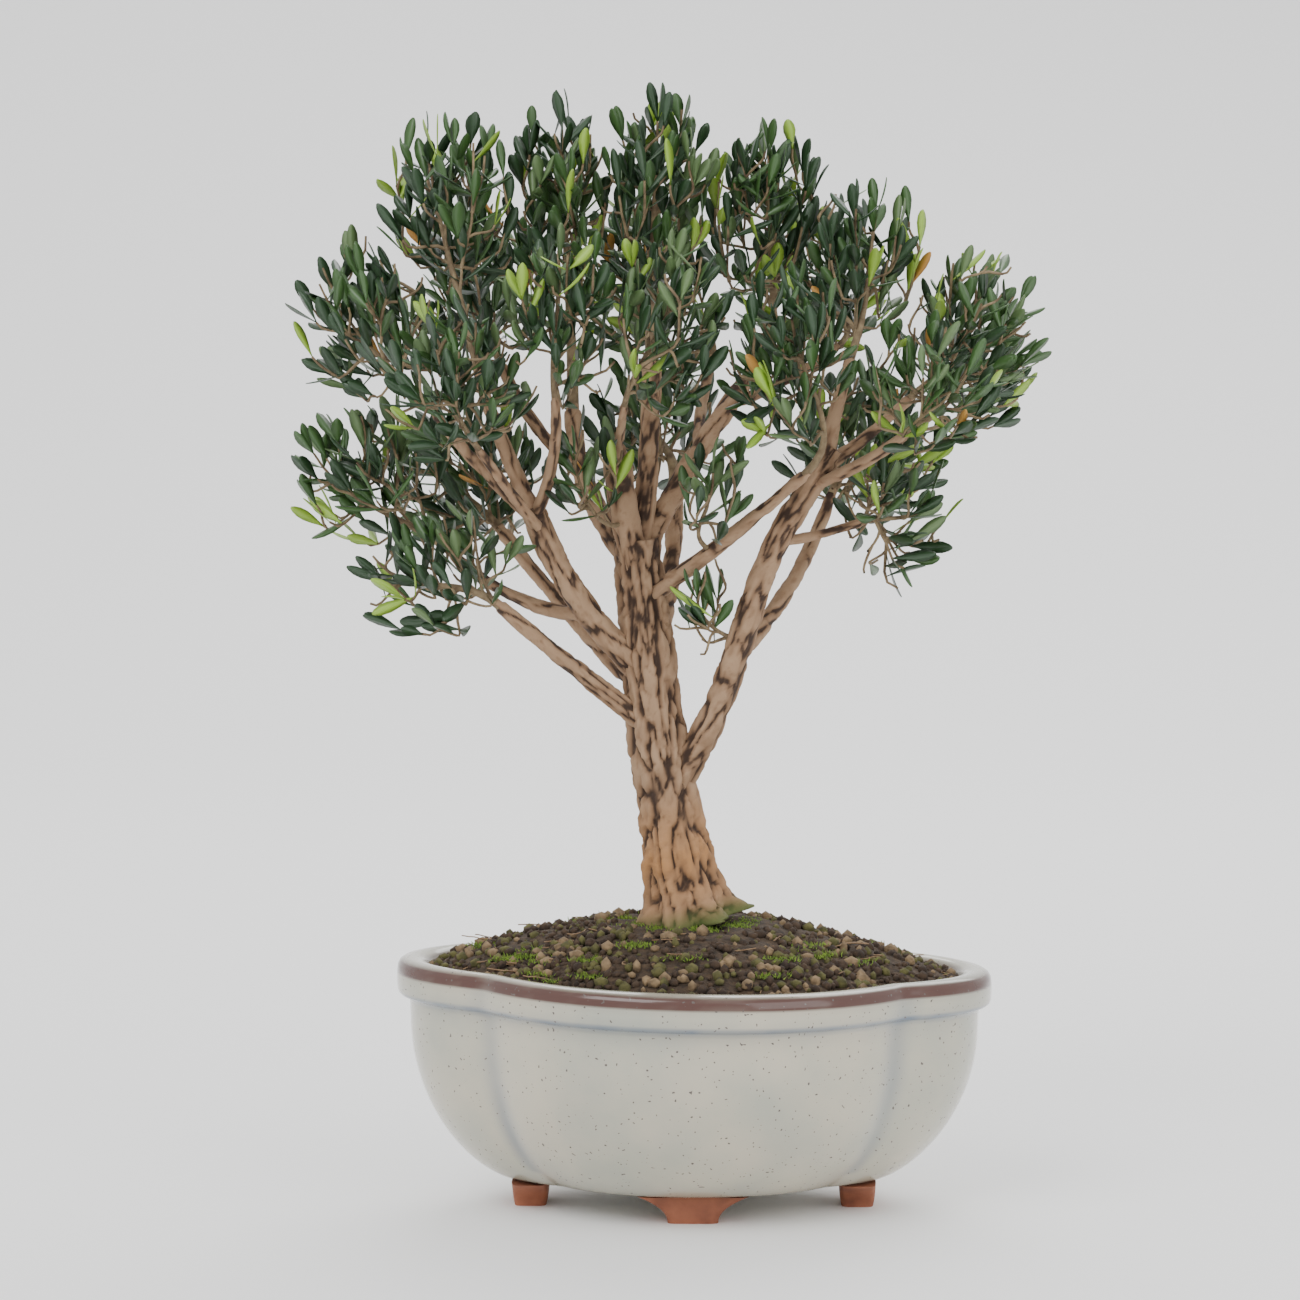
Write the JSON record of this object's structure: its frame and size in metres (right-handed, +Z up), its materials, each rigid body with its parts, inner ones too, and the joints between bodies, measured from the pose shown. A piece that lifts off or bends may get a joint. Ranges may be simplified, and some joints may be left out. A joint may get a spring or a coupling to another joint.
{
  "type": "potted chinese boxwood bonsai",
  "caption": "Small-leaved boxwood bonsai with forked trunk, boughs and foliage masses in a glazed quatrefoil pot on feet.",
  "frame": {"origin": "middle of the whole plant's box, at the flat underside of the pot's feet", "axes": "+Z up, +X to the right along the pot's long side, -Y towards the front"},
  "size_m": [0.2654, 0.1944, 0.394],
  "materials": {
    "pot_glaze": "glossy pale celadon glaze with a dark brown rim",
    "foot_clay": "unglazed fired clay",
    "soil": "damp granular soil with moss",
    "bark": "fissured corky bark",
    "foliage": "small glossy evergreen leaves on woody twigs"
  },
  "bodies": {
    "root": {"back_bough": "bark", "back_left_bough": "bark", "back_right_bough": "bark", "centre_leader": "bark", "cut_stub": "bark", "foliage_back_far_right": "foliage", "foliage_back_left": "foliage", "foliage_back_low": "foliage", "foliage_back_right": "foliage", "foliage_back_upper": "foliage", "foliage_back_upper_left": "foliage", "foliage_back_upper_right": "foliage", "foliage_far_left": "foliage", "foliage_fork_left": "foliage", "foliage_fork_right": "foliage", "foliage_front_centre": "foliage", "foliage_front_far_right": "foliage", "foliage_front_inner_left": "foliage", "foliage_front_left": "foliage", "foliage_front_right": "foliage", "foliage_inner_right": "foliage", "foliage_left_low": "foliage", "foliage_left_middle": "foliage", "foliage_left_top": "foliage", "foliage_right_low": "foliage", "foliage_right_middle": "foliage", "foliage_right_top": "foliage", "foliage_top_centre": "foliage", "foliage_top_left": "foliage", "foliage_top_right": "foliage", "inner_left_bough": "bark", "left_back_bough": "bark", "left_big_bough": "bark", "left_front_bough": "bark", "left_low_bough": "bark", "left_side_bough": "bark", "left_upper_bough": "bark", "pot_bowl": "pot_glaze", "pot_foot_back": "foot_clay", "pot_foot_front": "foot_clay", "pot_foot_left": "foot_clay", "pot_foot_right": "foot_clay", "right_bough": "bark", "right_front_bough": "bark", "right_leader": "bark", "right_low_bough": "bark", "right_outer_bough": "bark", "right_upper_bough": "bark", "second_left_bough": "bark", "small_right_bough": "bark", "soil": "soil", "stub_twig": "bark", "trunk": "bark", "upper_back_bough": "bark", "upper_back_left_bough": "bark", "upper_back_right_bough": "bark"}
  },
  "joints": []
}
